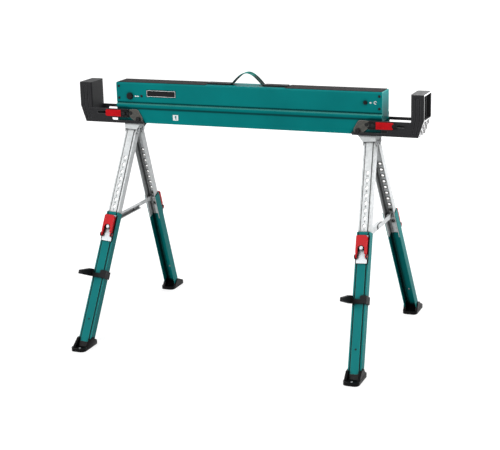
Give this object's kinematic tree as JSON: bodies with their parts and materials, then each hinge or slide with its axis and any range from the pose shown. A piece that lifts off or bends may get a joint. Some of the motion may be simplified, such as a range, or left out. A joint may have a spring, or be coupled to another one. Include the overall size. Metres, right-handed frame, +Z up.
{
  "type": "folding trestle with telescoping legs",
  "caption": "Folding work trestle: a pressed steel beam on two folding A-shaped leg pairs with telescoping legs, lever locks, braces, sliding timber arms and a carry strap.",
  "frame": {"origin": "on the floor below the middle of the beam", "axes": "+X along the beam to the right, -Y towards the user, +Z up"},
  "size_m": [1.158, 0.7702, 0.854],
  "materials": {
    "teal_paint": "powder coat, satin",
    "strap_web": "woven webbing",
    "grip_rubber": "grooved anti-slip",
    "black_plastic": "moulded, fine texture",
    "black_steel": "black oxide",
    "bracket_steel": "phosphate grey",
    "red_plastic": "moulded, semi-gloss",
    "zinc_steel": "galvanised"
  },
  "bodies": {
    "beam": {"beam_shell": "teal_paint", "end_cap_left": "teal_paint", "end_cap_right": "teal_paint", "grip_strip_left": "grip_rubber", "grip_strip_right": "grip_rubber", "carry_strap": "strap_web", "strap_plates": "black_plastic", "cap_screws": "black_steel", "bracket_left": "bracket_steel", "bracket_right": "bracket_steel", "bracket_bolts": "black_steel", "fold_bolt_left": "black_steel", "fold_bolt_right": "black_steel", "fold_bushes": "zinc_steel"},
    "button_left": {"release_button_left": "black_plastic"},
    "arm_left": {"support_arm_left": "black_plastic", "latch_screw_left": "black_steel"},
    "latch_left": {"arm_latch_left": "red_plastic"},
    "head_left": {"leg_head_left": "zinc_steel", "swing_pins_left": "zinc_steel"},
    "upper_front_left": {"upper_leg_front_left": "zinc_steel"},
    "lower_front_left": {"lower_leg_front_left": "teal_paint", "foot_front_left": "black_plastic", "lock_base_front_left": "zinc_steel", "peg_clip_left": "black_plastic"},
    "lever_front_left": {"lock_lever_front_left": "red_plastic"},
    "pin_front_left": {"lock_pin_front_left": "zinc_steel"},
    "link_front_left": {"brace_link_front_left": "zinc_steel", "brace_rivet_left": "zinc_steel"},
    "upper_back_left": {"upper_leg_back_left": "zinc_steel"},
    "lower_back_left": {"lower_leg_back_left": "teal_paint", "foot_back_left": "black_plastic", "lock_base_back_left": "zinc_steel"},
    "lever_back_left": {"lock_lever_back_left": "red_plastic"},
    "pin_back_left": {"lock_pin_back_left": "zinc_steel"},
    "link_back_left": {"brace_link_back_left": "zinc_steel"},
    "peg_left": {"leg_peg_left": "black_plastic"},
    "button_right": {"release_button_right": "black_plastic"},
    "arm_right": {"support_arm_right": "black_plastic", "latch_screw_right": "black_steel"},
    "latch_right": {"arm_latch_right": "red_plastic"},
    "head_right": {"leg_head_right": "zinc_steel", "swing_pins_right": "zinc_steel"},
    "upper_front_right": {"upper_leg_front_right": "zinc_steel"},
    "lower_front_right": {"lower_leg_front_right": "teal_paint", "foot_front_right": "black_plastic", "lock_base_front_right": "zinc_steel", "peg_clip_right": "black_plastic"},
    "lever_front_right": {"lock_lever_front_right": "red_plastic"},
    "pin_front_right": {"lock_pin_front_right": "zinc_steel"},
    "link_front_right": {"brace_link_front_right": "zinc_steel", "brace_rivet_right": "zinc_steel"},
    "upper_back_right": {"upper_leg_back_right": "zinc_steel"},
    "lower_back_right": {"lower_leg_back_right": "teal_paint", "foot_back_right": "black_plastic", "lock_base_back_right": "zinc_steel"},
    "lever_back_right": {"lock_lever_back_right": "red_plastic"},
    "pin_back_right": {"lock_pin_back_right": "zinc_steel"},
    "link_back_right": {"brace_link_back_right": "zinc_steel"},
    "peg_right": {"leg_peg_right": "black_plastic"}
  },
  "joints": [
    {"name": "button_press_left", "type": "slide", "parent": "beam", "child": "button_left", "axis": [0, 1, 0], "range_m": [0, 0.004], "stiffness_N_per_m": 400},
    {"name": "arm_slide_left", "type": "slide", "parent": "beam", "child": "arm_left", "axis": [-1, 0, 0], "range_m": [-0.051, 0]},
    {"name": "latch_slide_left", "type": "slide", "parent": "arm_left", "child": "latch_left", "axis": [-1, 0, 0], "range_m": [0, 0.02]},
    {"name": "leg_fold_left", "type": "hinge", "parent": "beam", "child": "head_left", "pos_m": [-0.372, 0, 0.691], "axis": [0, -1, 0], "range_deg": [0, 92]},
    {"name": "swing_front_left", "type": "hinge", "parent": "head_left", "child": "upper_front_left", "pos_m": [-0.4061, -0.01699, 0.652], "axis": [0.9975, 0, -0.0711], "range_deg": [0, 21.5]},
    {"name": "leg_slide_front_left", "type": "slide", "parent": "upper_front_left", "child": "lower_front_left", "axis": [0.064, 0.4376, 0.8969], "range_m": [0, 0.188]},
    {"name": "lever_front_left", "type": "hinge", "parent": "lower_front_left", "child": "lever_front_left", "pos_m": [-0.42846, -0.19385, 0.3385], "axis": [0.9975, 0, -0.0711], "range_deg": [0, 70]},
    {"name": "lock_pin_front_left", "type": "slide", "parent": "lower_front_left", "child": "pin_front_left", "axis": [0.0311, -0.8992, 0.4365], "range_m": [0, 0.008]},
    {"name": "brace_front_left", "type": "hinge", "parent": "upper_front_left", "child": "link_front_left", "pos_m": [-0.42548, -0.14287, 0.38031], "axis": [0.9975, 0, -0.0711], "range_deg": [0, 54.62]},
    {"name": "swing_back_left", "type": "hinge", "parent": "head_left", "child": "upper_back_left", "pos_m": [-0.4061, 0.01699, 0.652], "axis": [-0.9975, 0, 0.0711], "range_deg": [0, 21.5]},
    {"name": "leg_slide_back_left", "type": "slide", "parent": "upper_back_left", "child": "lower_back_left", "axis": [0.064, -0.4376, 0.8969], "range_m": [0, 0.188]},
    {"name": "lever_back_left", "type": "hinge", "parent": "lower_back_left", "child": "lever_back_left", "pos_m": [-0.42846, 0.19385, 0.3385], "axis": [-0.9975, 0, 0.0711], "range_deg": [0, 70]},
    {"name": "lock_pin_back_left", "type": "slide", "parent": "lower_back_left", "child": "pin_back_left", "axis": [0.0311, 0.8992, 0.4365], "range_m": [0, 0.008]},
    {"name": "brace_back_left", "type": "hinge", "parent": "upper_back_left", "child": "link_back_left", "pos_m": [-0.42548, 0.14287, 0.38031], "axis": [-0.9975, 0, 0.0711], "range_deg": [0, 54.62]},
    {"name": "peg_fold_left", "type": "hinge", "parent": "lower_front_left", "child": "peg_left", "pos_m": [-0.46725, -0.2362, 0.21921], "axis": [-0.9975, 0, 0.0711], "range_deg": [0, 90]},
    {"name": "button_press_right", "type": "slide", "parent": "beam", "child": "button_right", "axis": [0, 1, 0], "range_m": [0, 0.004], "stiffness_N_per_m": 400},
    {"name": "arm_slide_right", "type": "slide", "parent": "beam", "child": "arm_right", "axis": [1, 0, 0], "range_m": [-0.051, 0]},
    {"name": "latch_slide_right", "type": "slide", "parent": "arm_right", "child": "latch_right", "axis": [1, 0, 0], "range_m": [0, 0.02]},
    {"name": "leg_fold_right", "type": "hinge", "parent": "beam", "child": "head_right", "pos_m": [0.372, 0, 0.691], "axis": [0, 1, 0], "range_deg": [0, 68]},
    {"name": "swing_front_right", "type": "hinge", "parent": "head_right", "child": "upper_front_right", "pos_m": [0.4061, -0.01699, 0.652], "axis": [0.9975, 0, 0.0711], "range_deg": [0, 21.5]},
    {"name": "leg_slide_front_right", "type": "slide", "parent": "upper_front_right", "child": "lower_front_right", "axis": [-0.064, 0.4376, 0.8969], "range_m": [0, 0.188]},
    {"name": "lever_front_right", "type": "hinge", "parent": "lower_front_right", "child": "lever_front_right", "pos_m": [0.42846, -0.19385, 0.3385], "axis": [0.9975, 0, 0.0711], "range_deg": [0, 70]},
    {"name": "lock_pin_front_right", "type": "slide", "parent": "lower_front_right", "child": "pin_front_right", "axis": [-0.0311, -0.8992, 0.4365], "range_m": [0, 0.008]},
    {"name": "brace_front_right", "type": "hinge", "parent": "upper_front_right", "child": "link_front_right", "pos_m": [0.42548, -0.14287, 0.38031], "axis": [0.9975, 0, 0.0711], "range_deg": [0, 54.62]},
    {"name": "swing_back_right", "type": "hinge", "parent": "head_right", "child": "upper_back_right", "pos_m": [0.4061, 0.01699, 0.652], "axis": [-0.9975, 0, -0.0711], "range_deg": [0, 21.5]},
    {"name": "leg_slide_back_right", "type": "slide", "parent": "upper_back_right", "child": "lower_back_right", "axis": [-0.064, -0.4376, 0.8969], "range_m": [0, 0.188]},
    {"name": "lever_back_right", "type": "hinge", "parent": "lower_back_right", "child": "lever_back_right", "pos_m": [0.42846, 0.19385, 0.3385], "axis": [-0.9975, 0, -0.0711], "range_deg": [0, 70]},
    {"name": "lock_pin_back_right", "type": "slide", "parent": "lower_back_right", "child": "pin_back_right", "axis": [-0.0311, 0.8992, 0.4365], "range_m": [0, 0.008]},
    {"name": "brace_back_right", "type": "hinge", "parent": "upper_back_right", "child": "link_back_right", "pos_m": [0.42548, 0.14287, 0.38031], "axis": [-0.9975, 0, -0.0711], "range_deg": [0, 54.62]},
    {"name": "peg_fold_right", "type": "hinge", "parent": "lower_front_right", "child": "peg_right", "pos_m": [0.407, -0.2362, 0.21491], "axis": [-0.9975, 0, -0.0711], "range_deg": [0, 90]}
  ],
  "couplings": [
    {"joint": "brace_front_left", "follows": "swing_front_left", "ratio": 2.5402},
    {"joint": "lock_pin_front_left", "follows": "lever_front_left", "m_per_rad": 0.00654},
    {"joint": "swing_back_left", "follows": "swing_front_left", "ratio": 1},
    {"joint": "brace_back_left", "follows": "swing_front_left", "ratio": 2.5402},
    {"joint": "lock_pin_back_left", "follows": "lever_back_left", "m_per_rad": 0.00654},
    {"joint": "brace_front_right", "follows": "swing_front_right", "ratio": 2.5402},
    {"joint": "lock_pin_front_right", "follows": "lever_front_right", "m_per_rad": 0.00654},
    {"joint": "swing_back_right", "follows": "swing_front_right", "ratio": 1},
    {"joint": "brace_back_right", "follows": "swing_front_right", "ratio": 2.5402},
    {"joint": "lock_pin_back_right", "follows": "lever_back_right", "m_per_rad": 0.00654}
  ]
}
